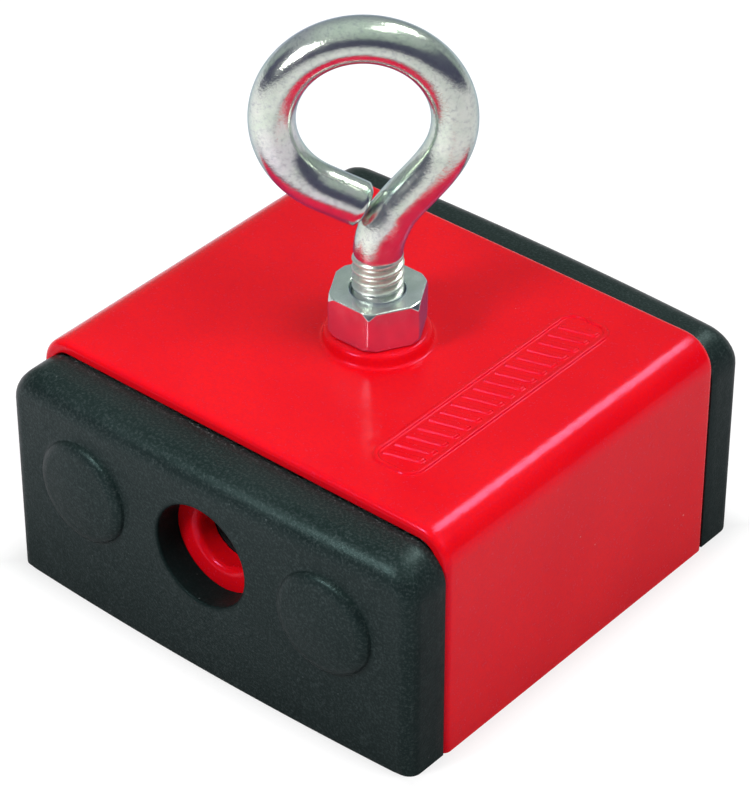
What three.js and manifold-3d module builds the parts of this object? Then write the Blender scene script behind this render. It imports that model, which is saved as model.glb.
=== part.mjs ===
// Holding magnet with a lifting eye: a sandwich of ceramic magnets and steel pole pieces under a bent
// sheet cover, closed at both ends by rubber caps, with a threaded eyebolt locked by a jam nut on top.
// Millimetres, +Z up. Origin: centre of the working face, which lies on z = 0.
// X runs across the end caps, Y runs through the magnet stack, from the front cap (-Y) to the rear cap.

import * as THREE from "three";
import { mergeVertices } from "three/addons/utils/BufferGeometryUtils.js";
import Module from "manifold-3d";

const wasm = await Module();
wasm.setup();

// ---------------------------------------------------------------- driving dimensions

const INCH = 25.4;
const FACE_GAP = 0.25; // left between flat faces that touch on the real part
const ROUND_GAP = 0.3; // left all round a shank in its hole

// Cover: one sheet bent into an upside-down channel, open at both ends.
const COVER_WIDTH = 2.5 * INCH;
const COVER_LENGTH = 2.0 * INCH;
const COVER_HEIGHT = 1.25 * INCH;
const SHEET = 1.65;
const BEND_RADIUS = 4.4;
const COVER_INNER_TOP = COVER_HEIGHT - SHEET;

// Raised collar drawn up out of the cover round the eyebolt.
const COLLAR_HEIGHT = 1.65;
const COLLAR_BASE_RADIUS = 6.9;
const COLLAR_TOP_RADIUS = 6.3;
const COLLAR_EDGE = 0.6;
const COLLAR_EDGE_KNEE = 0.3 * COLLAR_EDGE; // middle point of the rounded edge
const COLLAR_TOP = COVER_HEIGHT + COLLAR_HEIGHT;

// Embossed grip panel: a thin border with slanted bars inside it.
const PANEL_X = 17.8;
const PANEL_WIDTH = 7.0;
const PANEL_LENGTH = 38.4;
const PANEL_CORNER = 2.2;
const PANEL_RELIEF = 0.25;
const PANEL_LINE = 0.6;
const PANEL_BARS = 17;
const PANEL_BAR_WIDTH = 0.95;
const PANEL_BAR_PITCH = 2.05;
const PANEL_BAR_REACH = PANEL_WIDTH / 2 - 2 * PANEL_LINE; // half length, across the panel
const PANEL_BAR_SLANT = 1.4;

// Magnet stack, from the middle outwards: bar, two layers of magnets, pole plate.
const BAR_THICKNESS = 0.5 * INCH;
const PLATE_THICKNESS = 0.125 * INCH;
const PLATE_INNER_FACE = COVER_LENGTH / 2;
const PLATE_OUTER_FACE = PLATE_INNER_FACE + PLATE_THICKNESS;
const PLATE_WIDTH = 59.4;
const PLATE_HEIGHT = 28.3;
const PLATE_CORNER = 2.2;
const BAR_WIDTH = 59.4;
const BAR_CORNER = 3.0; // clears the inside of the cover's bends
const BAR_HEIGHT = COVER_INNER_TOP - FACE_GAP;
const MAGNET_LAYERS = 2;
const LAYER_PITCH = (PLATE_INNER_FACE - BAR_THICKNESS / 2) / MAGNET_LAYERS;
const MAGNET_THICKNESS = LAYER_PITCH - FACE_GAP;
const MAGNET_WIDTH = 21.3;
const MAGNET_RECESS = 0.8; // magnets stand back from the working face
const MAGNET_TOP = 28.3;
const SPACER_WIDTH = 15.8;

// Through hole along the stack, and the tie bolts on both sides of it.
const CROSS_HOLE_Z = 17.6;
const CROSS_HOLE_RADIUS = 4.0;
const CROSS_HOLE_LIP = 1.0;
const TIE_X = 0.75 * INCH;
const TIE_Z = 17.5;
const TIE_RADIUS = 2.4;
const TIE_HOLE_RADIUS = TIE_RADIUS + ROUND_GAP;
const TIE_HEAD_RADIUS = 4.6;
const TIE_NUT_RADIUS = 5.5;
const TIE_HEAD_HEIGHT = 2.6;
const TIE_END = PLATE_OUTER_FACE + 3.3;

// Rubber end caps.
const CAP_SEAM = 0.1; // left between a cap and the cover
const CAP_INNER_EDGE = COVER_LENGTH / 2 + CAP_SEAM;
const CAP_CORNER_DEPTH = 31.5;
const CAP_CROWN = 0.93; // how far the middle of the face stands proud of its corners
const CAP_HALF_WIDTH = 31.55;
const CAP_TOP = COVER_INNER_TOP - CAP_SEAM;
const CAP_SIDE_EDGE = 2.0;
const CAP_TOP_EDGE = 3.2;
const CAP_SHOULDER = 4.6;
const CAP_HOLE_RADIUS = 6.85;
const CAP_DOME_RADIUS = 6.85;
const CAP_DOME_HEIGHT = 1.4;
const CAP_DOME_EDGE = 1.8; // width of the dome's rounded edge
const CAP_DOME_EDGE_HEIGHT = 1.1;
const CAP_POCKET_END = PLATE_OUTER_FACE + TIE_HEAD_HEIGHT + 0.4;
const CAP_POCKET_RADIUS = TIE_NUT_RADIUS + 0.35;
const CAP_TIP_RADIUS = TIE_RADIUS + 0.5;
const CAP_TIP_END = TIE_END + ROUND_GAP;

// Eyebolt, 1/4-20, formed from round bar, and its jam nut.
const THREAD_PITCH = INCH / 20;
const THREAD_MAJOR = 3.15;
const THREAD_MINOR = 2.5;
const THREAD_TOP = 43.8;
const THREAD_TIP = 0.8; // length of the tapered tip
const THREAD_BOTTOM = CROSS_HOLE_Z + CROSS_HOLE_RADIUS + 0.9;
const THREAD_TURNS = 9; // drawn turns; the shank is plain below them
const THREAD_FLANK = 0.42 * THREAD_PITCH;
const ROD_RADIUS = 2.8;
const NECK_Z = 44.0; // where the rod starts to bend, just over the thread
const NECK_HANDLE = [0.2, 0, 6]; // how the bend leaves the shank
const EYE_HANDLE = 5.3; // how far the bend runs straight into the eye
const EYE_RADIUS = 10.6;
const EYE_CENTRE_U = -1.7;
const EYE_CENTRE_Z = 62.5;
const EYE_START = THREE.MathUtils.degToRad(-28);
const EYE_END = THREE.MathUtils.degToRad(243);
const EYE_TAIL = 5.55;
const EYE_TURN = THREE.MathUtils.degToRad(40.3);
const NUT_CORNER_RADIUS = (7 / 32 / Math.cos(Math.PI / 6)) * INCH;
const NUT_HEIGHT = (7 / 32) * INCH;
const NUT_BASE = COLLAR_TOP + 0.1;
const NUT_BORE_RADIUS = THREAD_MAJOR + ROUND_GAP;
const NUT_SINK = 0.45; // countersink of the bore, both ways
const NUT_FACE_RADIUS = NUT_CORNER_RADIUS * Math.cos(Math.PI / 6) - 0.2;

// ---------------------------------------------------------------- solids

// Turns a closed three.js geometry into a manifold-3d solid.
function solid(geometry) {
  const bare = geometry.clone();
  bare.deleteAttribute("normal");
  bare.deleteAttribute("uv");
  const merged = mergeVertices(bare, 1e-4);
  const data = new wasm.Mesh({
    numProp: 3,
    vertProperties: new Float32Array(merged.getAttribute("position").array),
    triVerts: new Uint32Array(merged.index.array),
  });
  return new wasm.Manifold(data);
}

function toMesh(name, body, material) {
  const data = body.getMesh();
  const geometry = new THREE.BufferGeometry();
  geometry.setAttribute("position", new THREE.BufferAttribute(data.vertProperties, 3));
  geometry.setIndex(new THREE.BufferAttribute(data.triVerts, 1));
  const faceted = geometry.toNonIndexed();
  faceted.computeVertexNormals();
  const mesh = new THREE.Mesh(faceted, material);
  mesh.name = name;
  return mesh;
}

function box(xSize, ySize, zSize, x, y, z) {
  return solid(new THREE.BoxGeometry(xSize, ySize, zSize).translate(x, y, z));
}

// Extrudes an outline drawn in XZ along Y, from yLow to yHigh.
function alongY(shape, yLow, yHigh, curveSegments = 4) {
  const options = { depth: yHigh - yLow, bevelEnabled: false, curveSegments };
  const geometry = new THREE.ExtrudeGeometry(shape, options);
  return solid(geometry.rotateX(Math.PI / 2).translate(0, yHigh, 0));
}

// Extrudes an outline drawn in XY along Z, from zLow to zHigh.
function alongZ(shape, zLow, zHigh, curveSegments = 4) {
  const options = { depth: zHigh - zLow, bevelEnabled: false, curveSegments };
  return solid(new THREE.ExtrudeGeometry(shape, options).translate(0, 0, zLow));
}

function cylinderY(radius, yLow, yHigh, x, z, sides = 28) {
  const geometry = new THREE.CylinderGeometry(radius, radius, yHigh - yLow, sides);
  return solid(geometry.translate(x, (yLow + yHigh) / 2, z));
}

// Revolves [radius, height] pairs about Y. The pairs run from the top of the axis to its bottom. The
// first side starts half a side round, so that its edges stay clear of corners that lie on X and Z.
function revolved(pairs, sides) {
  const points = pairs.map(([radius, height]) => new THREE.Vector2(radius, height));
  return new THREE.LatheGeometry(points.reverse(), sides, Math.PI / sides);
}

function turned(pairs, sides = 32) {
  return solid(revolved(pairs, sides).rotateX(Math.PI / 2));
}

// Rounded rectangle between two corners, as a shape.
function roundedRectangle(left, low, right, high, radius) {
  const shape = new THREE.Shape();
  shape.absarc(right - radius, low + radius, radius, -Math.PI / 2, 0, false);
  shape.absarc(right - radius, high - radius, radius, 0, Math.PI / 2, false);
  shape.absarc(left + radius, high - radius, radius, Math.PI / 2, Math.PI, false);
  shape.absarc(left + radius, low + radius, radius, Math.PI, 1.5 * Math.PI, false);
  return shape;
}

// Rectangle standing on z = low whose two upper corners are rounded.
function archedRectangle(halfWidth, low, high, radius) {
  const shape = new THREE.Shape();
  shape.moveTo(-halfWidth, low);
  shape.lineTo(halfWidth, low);
  shape.absarc(halfWidth - radius, high - radius, radius, 0, Math.PI / 2, false);
  shape.absarc(-halfWidth + radius, high - radius, radius, Math.PI / 2, Math.PI, false);
  shape.closePath();
  return shape;
}

function tieHoles(yLow, yHigh) {
  const left = cylinderY(TIE_HOLE_RADIUS, yLow, yHigh, -TIE_X, TIE_Z, 20);
  return left.add(cylinderY(TIE_HOLE_RADIUS, yLow, yHigh, TIE_X, TIE_Z, 20));
}

// ---------------------------------------------------------------- cover

// Outline of one slanted bar of the panel.
function panelBar(y) {
  const half = PANEL_BAR_WIDTH / 2;
  const slant = PANEL_BAR_SLANT / 2;
  return new THREE.Shape([
    new THREE.Vector2(PANEL_X - PANEL_BAR_REACH, y - half - slant),
    new THREE.Vector2(PANEL_X + PANEL_BAR_REACH, y - half + slant),
    new THREE.Vector2(PANEL_X + PANEL_BAR_REACH, y + half + slant),
    new THREE.Vector2(PANEL_X - PANEL_BAR_REACH, y + half - slant),
  ]);
}

function panelRelief() {
  const left = PANEL_X - PANEL_WIDTH / 2;
  const right = PANEL_X + PANEL_WIDTH / 2;
  const end = PANEL_LENGTH / 2;
  const border = roundedRectangle(left, -end, right, end, PANEL_CORNER);
  const inner = roundedRectangle(
    left + PANEL_LINE,
    -end + PANEL_LINE,
    right - PANEL_LINE,
    end - PANEL_LINE,
    PANEL_CORNER - PANEL_LINE,
  );
  const floor = COVER_HEIGHT - SHEET / 2;
  const top = COVER_HEIGHT + PANEL_RELIEF;
  let relief = alongZ(border, floor, top, 3).subtract(alongZ(inner, floor - 1, top + 1, 3));
  for (let i = 0; i < PANEL_BARS; i++) {
    relief = relief.add(alongZ(panelBar((i - (PANEL_BARS - 1) / 2) * PANEL_BAR_PITCH), floor, top));
  }
  return relief;
}

function collar() {
  return turned([
    [0, COLLAR_TOP],
    [COLLAR_TOP_RADIUS - COLLAR_EDGE, COLLAR_TOP],
    [COLLAR_TOP_RADIUS - COLLAR_EDGE_KNEE, COLLAR_TOP - COLLAR_EDGE_KNEE],
    [COLLAR_TOP_RADIUS, COLLAR_TOP - COLLAR_EDGE],
    [COLLAR_BASE_RADIUS, COVER_HEIGHT - SHEET / 2],
    [0, COVER_HEIGHT - SHEET / 2],
  ]);
}

function cover() {
  const half = COVER_WIDTH / 2;
  const end = COVER_LENGTH / 2;
  const outer = archedRectangle(half, 0, COVER_HEIGHT, BEND_RADIUS);
  const inner = archedRectangle(half - SHEET, -1, COVER_INNER_TOP, BEND_RADIUS - SHEET);
  const channel = alongY(outer, -end, end, 5).subtract(alongY(inner, -end - 1, end + 1));
  const bore = turned([
    [0, COLLAR_TOP + 1],
    [NUT_BORE_RADIUS, COLLAR_TOP + 1],
    [NUT_BORE_RADIUS, COVER_INNER_TOP - 1],
    [0, COVER_INNER_TOP - 1],
  ]);
  return channel.add(collar()).add(panelRelief()).subtract(bore);
}

// ---------------------------------------------------------------- end caps

// Top view of a cap: straight inner edge, rounded side edges, crowned outer face. Drawn for +Y.
function capPlan() {
  const shape = new THREE.Shape();
  const corner = CAP_CORNER_DEPTH - CAP_SIDE_EDGE;
  shape.moveTo(-CAP_HALF_WIDTH, CAP_INNER_EDGE);
  shape.lineTo(CAP_HALF_WIDTH, CAP_INNER_EDGE);
  shape.absarc(CAP_HALF_WIDTH - CAP_SIDE_EDGE, corner, CAP_SIDE_EDGE, 0, Math.PI / 2, false);
  const crownEnd = CAP_HALF_WIDTH - CAP_SIDE_EDGE;
  shape.quadraticCurveTo(0, CAP_CORNER_DEPTH + 2 * CAP_CROWN, -crownEnd, CAP_CORNER_DEPTH);
  shape.absarc(-crownEnd, corner, CAP_SIDE_EDGE, Math.PI / 2, Math.PI, false);
  shape.closePath();
  return shape;
}

// Side view of a cap, extruded across X: the outer top edge is rounded. Drawn for +Y.
function capSide() {
  const face = CAP_CORNER_DEPTH + CAP_CROWN;
  const shape = new THREE.Shape();
  shape.moveTo(CAP_INNER_EDGE - 1, 0);
  shape.lineTo(face, 0);
  shape.absarc(face - CAP_TOP_EDGE, CAP_TOP - CAP_TOP_EDGE, CAP_TOP_EDGE, 0, Math.PI / 2, false);
  shape.lineTo(CAP_INNER_EDGE - 1, CAP_TOP);
  shape.closePath();
  const width = 2 * CAP_HALF_WIDTH + 2;
  const options = { depth: width, bevelEnabled: false, curveSegments: 4 };
  const geometry = new THREE.ExtrudeGeometry(shape, options).translate(0, 0, -width / 2);
  return solid(geometry.rotateY(Math.PI / 2).rotateX(Math.PI / 2));
}

// Button over the end of a tie bolt, standing on the cap's face: slightly domed, with a rounded edge.
function capDome(x) {
  const base = CAP_CORNER_DEPTH - 1;
  const foot = CAP_CORNER_DEPTH + CAP_CROWN * (1 - (x / CAP_HALF_WIDTH) ** 2);
  const flat = CAP_DOME_RADIUS - CAP_DOME_EDGE;
  const steps = 4;
  const profile = [[0, foot + CAP_DOME_HEIGHT]];
  for (let i = 0; i <= steps; i++) {
    const angle = (i / steps) * (Math.PI / 2);
    const radius = flat + CAP_DOME_EDGE * Math.sin(angle);
    profile.push([radius, foot + CAP_DOME_EDGE_HEIGHT * Math.cos(angle)]);
  }
  profile.push([CAP_DOME_RADIUS, base]);
  profile.push([0, base]);
  return solid(revolved(profile, 28).translate(x, 0, TIE_Z));
}

// One cap, drawn on the +Y side.
function endCap() {
  const front = archedRectangle(CAP_HALF_WIDTH, 0, CAP_TOP, CAP_SHOULDER);
  const far = CAP_CORNER_DEPTH + CAP_CROWN + 2;
  let cap = alongZ(capPlan(), 0, CAP_TOP, 8);
  cap = cap.intersect(alongY(front, CAP_INNER_EDGE - 1, far)).intersect(capSide());
  cap = cap.add(capDome(-TIE_X)).add(capDome(TIE_X));
  const pocketHalf = PLATE_WIDTH / 2 + FACE_GAP;
  const pocketTop = PLATE_HEIGHT + FACE_GAP;
  const pocket = archedRectangle(pocketHalf, -1, pocketTop, PLATE_CORNER + FACE_GAP);
  cap = cap.subtract(alongY(pocket, CAP_INNER_EDGE - 1, PLATE_OUTER_FACE + CAP_SEAM, 3));
  cap = cap.subtract(cylinderY(CAP_HOLE_RADIUS, CAP_INNER_EDGE, far, 0, CROSS_HOLE_Z));
  for (const x of [-TIE_X, TIE_X]) {
    cap = cap.subtract(cylinderY(CAP_POCKET_RADIUS, CAP_INNER_EDGE, CAP_POCKET_END, x, TIE_Z, 24));
    cap = cap.subtract(cylinderY(CAP_TIP_RADIUS, CAP_INNER_EDGE, CAP_TIP_END, x, TIE_Z, 16));
  }
  return cap;
}

// ---------------------------------------------------------------- magnet stack

// Bore of the through hole in a pole plate: its outer lip is rounded over. Drawn for +Y.
function lippedBore() {
  const profile = [[0, PLATE_OUTER_FACE + 1]];
  profile.push([CROSS_HOLE_RADIUS + CROSS_HOLE_LIP, PLATE_OUTER_FACE + 1]);
  const steps = 4;
  for (let i = 0; i <= steps; i++) {
    const angle = (i / steps) * (Math.PI / 2);
    const radius = CROSS_HOLE_RADIUS + CROSS_HOLE_LIP * (1 - Math.sin(angle));
    profile.push([radius, PLATE_OUTER_FACE - CROSS_HOLE_LIP * (1 - Math.cos(angle))]);
  }
  profile.push([CROSS_HOLE_RADIUS, PLATE_INNER_FACE - 1]);
  profile.push([0, PLATE_INNER_FACE - 1]);
  return solid(revolved(profile, 24).translate(0, 0, CROSS_HOLE_Z));
}

// One pole plate, drawn on the +Y side.
function polePlate() {
  const outline = archedRectangle(PLATE_WIDTH / 2, 0, PLATE_HEIGHT, PLATE_CORNER);
  const inner = PLATE_INNER_FACE + FACE_GAP / 2;
  const plate = alongY(outline, inner, PLATE_OUTER_FACE, 3);
  return plate.subtract(lippedBore()).subtract(tieHoles(inner - 1, PLATE_OUTER_FACE + 1));
}

function centrePoleBar() {
  const half = BAR_THICKNESS / 2;
  const bar = alongY(archedRectangle(BAR_WIDTH / 2, 0, BAR_HEIGHT, BAR_CORNER), -half, half, 3);
  const cross = cylinderY(CROSS_HOLE_RADIUS, -half - 1, half + 1, 0, CROSS_HOLE_Z, 28);
  const tapped = turned([
    [0, BAR_HEIGHT + 1],
    [NUT_BORE_RADIUS, BAR_HEIGHT + 1],
    [NUT_BORE_RADIUS, CROSS_HOLE_Z],
    [0, CROSS_HOLE_Z],
  ]);
  return bar.subtract(cross).subtract(tapped).subtract(tieHoles(-half - 1, half + 1));
}

// Middle of a magnet layer, counted from the bar outwards, on the side given by sign.
function layerY(layer, sign) {
  return sign * (BAR_THICKNESS / 2 + (layer + 0.5) * LAYER_PITCH);
}

function magnetBlock(x, y) {
  const height = MAGNET_TOP - MAGNET_RECESS;
  const middle = (MAGNET_TOP + MAGNET_RECESS) / 2;
  const block = box(MAGNET_WIDTH, MAGNET_THICKNESS, height, x, y, middle);
  const reach = MAGNET_THICKNESS;
  return block.subtract(cylinderY(TIE_HOLE_RADIUS, y - reach, y + reach, x, TIE_Z, 20));
}

// Moulded block that keeps the left and right magnets apart and carries the through hole.
function magnetSpacer(sign) {
  const low = BAR_THICKNESS / 2 + FACE_GAP / 2;
  const high = PLATE_INNER_FACE - FACE_GAP / 2;
  const y = (sign * (low + high)) / 2;
  const height = MAGNET_TOP - MAGNET_RECESS;
  const middle = (MAGNET_TOP + MAGNET_RECESS) / 2;
  const block = box(SPACER_WIDTH, high - low, height, 0, y, middle);
  const reach = high - low;
  return block.subtract(cylinderY(CROSS_HOLE_RADIUS, y - reach, y + reach, 0, CROSS_HOLE_Z, 28));
}

// Tie bolt along Y with its hexagon head against the front pole plate.
function tieBolt(x) {
  const face = PLATE_OUTER_FACE + FACE_GAP / 2;
  const shank = cylinderY(TIE_RADIUS, -face - 1, TIE_END, x, TIE_Z, 20);
  return shank.add(cylinderY(TIE_HEAD_RADIUS, -face - TIE_HEAD_HEIGHT, -face, x, TIE_Z, 6));
}

function tieNut(x) {
  const face = PLATE_OUTER_FACE + FACE_GAP / 2;
  const nut = cylinderY(TIE_NUT_RADIUS, face, face + TIE_HEAD_HEIGHT, x, TIE_Z, 6);
  return nut.subtract(cylinderY(TIE_HOLE_RADIUS, face - 1, TIE_END + 1, x, TIE_Z, 20));
}

// ---------------------------------------------------------------- eyebolt and jam nut

// Circular arc in the XZ plane, by its centre, radius and the angles of its two ends.
class EyeArc extends THREE.Curve {
  getPoint(t, target = new THREE.Vector3()) {
    const angle = EYE_START + t * (EYE_END - EYE_START);
    const u = EYE_CENTRE_U + EYE_RADIUS * Math.cos(angle);
    return target.set(u, 0, EYE_CENTRE_Z + EYE_RADIUS * Math.sin(angle));
  }
}

// Middle line of the bent rod: straight up out of the thread, over into the eye, round it, and back to
// the neck.
function eyePath() {
  const arc = new EyeArc();
  const start = arc.getPoint(0);
  const end = arc.getPoint(1);
  const into = new THREE.Vector3(-Math.sin(EYE_START), 0, Math.cos(EYE_START));
  const out = new THREE.Vector3(-Math.sin(EYE_END), 0, Math.cos(EYE_END));
  const neck = new THREE.Vector3(0, 0, NECK_Z);
  const neckHandle = neck.clone().add(new THREE.Vector3(...NECK_HANDLE));
  const eyeHandle = start.clone().addScaledVector(into, -EYE_HANDLE);
  const path = new THREE.CurvePath();
  path.add(new THREE.LineCurve3(new THREE.Vector3(0, 0, THREAD_TOP - THREAD_PITCH / 2), neck));
  path.add(new THREE.CubicBezierCurve3(neck, neckHandle, eyeHandle, start));
  path.add(arc);
  path.add(new THREE.LineCurve3(end, end.clone().addScaledVector(out, EYE_TAIL)));
  return path;
}

function rodSection() {
  const shape = new THREE.Shape();
  shape.absarc(0, 0, ROD_RADIUS, 0, 2 * Math.PI, false);
  return shape;
}

// Threaded shank with its thread form as rings, one per pitch, where it shows.
function threadedShank() {
  const profile = [[0, THREAD_TOP + 0.2]];
  for (let turn = 0; turn < THREAD_TURNS; turn++) {
    const z = THREAD_TOP - turn * THREAD_PITCH;
    profile.push([THREAD_MINOR, z]);
    profile.push([THREAD_MAJOR, z - THREAD_FLANK]);
    profile.push([THREAD_MAJOR, z - THREAD_PITCH + THREAD_FLANK]);
  }
  const plain = THREAD_TOP - THREAD_TURNS * THREAD_PITCH;
  profile.push([THREAD_MINOR, plain]);
  profile.push([THREAD_MAJOR, plain - THREAD_FLANK]);
  profile.push([THREAD_MAJOR, THREAD_BOTTOM + THREAD_TIP]);
  profile.push([THREAD_MINOR, THREAD_BOTTOM]);
  profile.push([0, THREAD_BOTTOM]);
  return turned(profile, 20);
}

function eyebolt() {
  const options = { steps: 60, extrudePath: eyePath(), bevelEnabled: false, curveSegments: 8 };
  const rod = solid(new THREE.ExtrudeGeometry(rodSection(), options));
  return rod.add(threadedShank());
}

// Hexagon nut: corners on +X and -X, both faces chamfered, both mouths of the bore countersunk.
function jamNut() {
  const corners = [];
  for (let i = 0; i < 6; i++) {
    const angle = (i * Math.PI) / 3;
    corners.push(new THREE.Vector2(Math.cos(angle), Math.sin(angle)).multiplyScalar(NUT_CORNER_RADIUS));
  }
  const prism = new THREE.Shape(corners);
  const top = NUT_BASE + NUT_HEIGHT;
  const wide = NUT_CORNER_RADIUS + 0.3;
  const drop = (wide - NUT_FACE_RADIUS) * Math.tan(Math.PI / 6);
  const dressed = turned(
    [
      [0, top],
      [NUT_FACE_RADIUS, top],
      [wide, top - drop],
      [wide, NUT_BASE + drop],
      [NUT_FACE_RADIUS, NUT_BASE],
      [0, NUT_BASE],
    ],
    48,
  );
  const bore = turned(
    [
      [0, top + 1],
      [NUT_BORE_RADIUS + NUT_SINK, top + 1],
      [NUT_BORE_RADIUS + NUT_SINK, top],
      [NUT_BORE_RADIUS, top - NUT_SINK],
      [NUT_BORE_RADIUS, NUT_BASE + NUT_SINK],
      [NUT_BORE_RADIUS + NUT_SINK, NUT_BASE],
      [NUT_BORE_RADIUS + NUT_SINK, NUT_BASE - 1],
      [0, NUT_BASE - 1],
    ],
    28,
  );
  return alongZ(prism, NUT_BASE, top).intersect(dressed).subtract(bore);
}

// ---------------------------------------------------------------- materials

function material(color, roughness, metalness) {
  return new THREE.MeshStandardMaterial({ color, roughness, metalness });
}

const redPaint = material(0xe01020, 0.25, 0.0);
const blackRubber = material(0x2a3033, 0.85, 0.0);
const zincSteel = material(0xc4c8c4, 0.25, 1.0);
const groundSteel = material(0x8f9396, 0.35, 1.0);
const ceramicMagnet = material(0x26262a, 0.7, 0.0);
const blackPlastic = material(0x1c1e20, 0.5, 0.0);

// ---------------------------------------------------------------- assembly

const magnet = new THREE.Group();

function place(name, body, finish) {
  const mesh = toMesh(name, body, finish);
  magnet.add(mesh);
  return mesh;
}

place("cover", cover(), redPaint);
place("centre_pole_bar", centrePoleBar(), groundSteel);

// Pieces of the two ends. The front piece is the rear piece turned half a turn about Z.
for (const [end, turn] of [["rear", 0], ["front", Math.PI]]) {
  place(end + "_end_cap", endCap(), blackRubber).rotation.z = turn;
  place(end + "_pole_plate", polePlate(), redPaint).rotation.z = turn;
}

for (const [end, sign] of [["front", -1], ["rear", 1]]) {
  place(end + "_magnet_spacer", magnetSpacer(sign), blackPlastic);
  for (const [side, x] of [["left", -TIE_X], ["right", TIE_X]]) {
    place([end, side, "inner_magnet"].join("_"), magnetBlock(x, layerY(0, sign)), ceramicMagnet);
    place([end, side, "outer_magnet"].join("_"), magnetBlock(x, layerY(1, sign)), ceramicMagnet);
  }
}

for (const [side, x] of [["left", -TIE_X], ["right", TIE_X]]) {
  place(side + "_tie_bolt", tieBolt(x), zincSteel);
  place(side + "_tie_nut", tieNut(x), zincSteel);
}

place("eyebolt", eyebolt(), zincSteel).rotation.z = EYE_TURN;
place("jam_nut", jamNut(), zincSteel);

export default magnet;
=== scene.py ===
"""Looks of the holding magnet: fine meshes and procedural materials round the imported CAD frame.

Shapes are worked out in millimetres in the row frame and scaled to metres when a piece is made.
X runs across the end caps, Y runs through the magnet stack, +Z is up and the working face is on z = 0.
"""

import math

import bmesh
import bpy
import numpy as np
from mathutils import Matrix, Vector


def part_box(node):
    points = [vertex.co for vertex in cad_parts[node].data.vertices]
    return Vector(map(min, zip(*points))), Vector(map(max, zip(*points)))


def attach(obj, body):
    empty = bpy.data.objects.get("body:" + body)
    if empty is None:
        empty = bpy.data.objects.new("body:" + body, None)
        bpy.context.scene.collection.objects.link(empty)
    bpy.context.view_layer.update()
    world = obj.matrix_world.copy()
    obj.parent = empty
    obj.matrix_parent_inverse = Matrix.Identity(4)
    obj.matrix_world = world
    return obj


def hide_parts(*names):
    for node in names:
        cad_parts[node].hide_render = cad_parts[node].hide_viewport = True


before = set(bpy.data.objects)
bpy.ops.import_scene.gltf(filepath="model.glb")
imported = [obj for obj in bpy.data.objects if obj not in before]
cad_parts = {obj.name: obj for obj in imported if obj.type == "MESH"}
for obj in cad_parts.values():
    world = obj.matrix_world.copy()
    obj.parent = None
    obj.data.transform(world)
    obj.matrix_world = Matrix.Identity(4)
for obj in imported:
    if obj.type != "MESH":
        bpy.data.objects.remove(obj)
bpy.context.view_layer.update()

MM = 0.001
BLOCK = "block"
EYEBOLT = "eyebolt"
JAM_NUT = "jam_nut"


def node_box(node):
    """Lowest and highest corner of a CAD node, in millimetres."""
    low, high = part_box(node)
    return np.array(low) / MM, np.array(high) / MM


# ------------ sizes

# The boxes are those of the CAD nodes, so the fine pieces follow the frame.
COVER_HALF_WIDTH, COVER_HALF_LENGTH, COLLAR_TOP = node_box("cover")[1]
CAP_LOW, CAP_HIGH = node_box("rear_end_cap")
PLATE_LOW, PLATE_HIGH = node_box("rear_pole_plate")
NUT_LOW, NUT_HIGH = node_box("jam_nut")
BOLT_LOW, BOLT_HIGH = node_box("eyebolt")
TIE_LOW, TIE_HIGH = node_box("right_tie_bolt")

COVER_HEIGHT = COVER_HALF_WIDTH  # the cover is half as high as it is wide
SHEET = 1.65  # thickness of the cover
BEND_RADIUS = 4.4  # outside radius of the cover's two long bends
TIE_X = (TIE_LOW[0] + TIE_HIGH[0]) / 2
TIE_Z = (TIE_LOW[2] + TIE_HIGH[2]) / 2
CROSS_HOLE_Z = 17.6  # the hole along Y through the plates, the spacers and the centre bar
CROSS_HOLE_RADIUS = 4.0
THREAD_TOP = 43.8  # the thread ends here, under the bend into the eye

# ------------ mesh helpers

HOLE_SIDES = 48
CORNER_STEPS = 8  # round a block's long corners
EDGE_STEPS = 4  # over a block's end edges
LOW_CORNER = 1.2  # radius of a block's lower long corners, in roundings of its edges
TIGHTEST = 0.45  # a fillet takes at most this share of the lines beside its corner


class Surface:
    """Points and faces of one closed mesh, gathered in millimetres."""

    def __init__(self):
        self.points = []
        self.faces = []

    def add(self, points):
        """Adds points and returns their indices."""
        first = len(self.points)
        self.points.extend(tuple(float(v) for v in p) for p in points)
        return list(range(first, len(self.points)))

    def rings(self, loops):
        """Joins closed loops of the same length, each to the next, by quads."""
        for one, other in zip(loops, loops[1:]):
            for i in range(len(one)):
                j = (i + 1) % len(one)
                self.faces.append((one[i], one[j], other[j], other[i]))

    def tube(self, loops):
        """Joins the loops and closes both ends with a face."""
        self.rings(loops)
        self.faces += [tuple(loops[0]), tuple(reversed(loops[-1]))]

    def quads(self, grid, windows):
        """Fills grid[j][i] with faces, apart from windows given as (i, i, j, j)."""
        for j in range(len(grid) - 1):
            for i in range(len(grid[0]) - 1):
                if not any(a <= i < b and c <= j < d for a, b, c, d in windows):
                    self.faces.append((grid[j][i], grid[j][i + 1], grid[j + 1][i + 1], grid[j + 1][i]))

    def fan(self, loop, centre):
        """Closes a loop by triangles round a middle point."""
        middle = self.add([centre])[0]
        for i, index in enumerate(loop):
            self.faces.append((index, loop[(i + 1) % len(loop)], middle))

    def made(self, name):
        """An object with the mesh in metres, no loose points, and normals outwards."""
        mesh = bpy.data.meshes.new(name)
        mesh.from_pydata([tuple(v * MM for v in p) for p in self.points], [], self.faces)
        work = bmesh.new()
        work.from_mesh(mesh)
        loose = [v for v in work.verts if not v.link_faces]
        bmesh.ops.delete(work, geom=loose, context="VERTS")
        bmesh.ops.recalc_face_normals(work, faces=work.faces)
        work.to_mesh(mesh)
        work.free()
        return new_object(name, mesh)


def new_object(name, mesh):
    obj = bpy.data.objects.new(name, mesh)
    bpy.context.scene.collection.objects.link(obj)
    return obj


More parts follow.
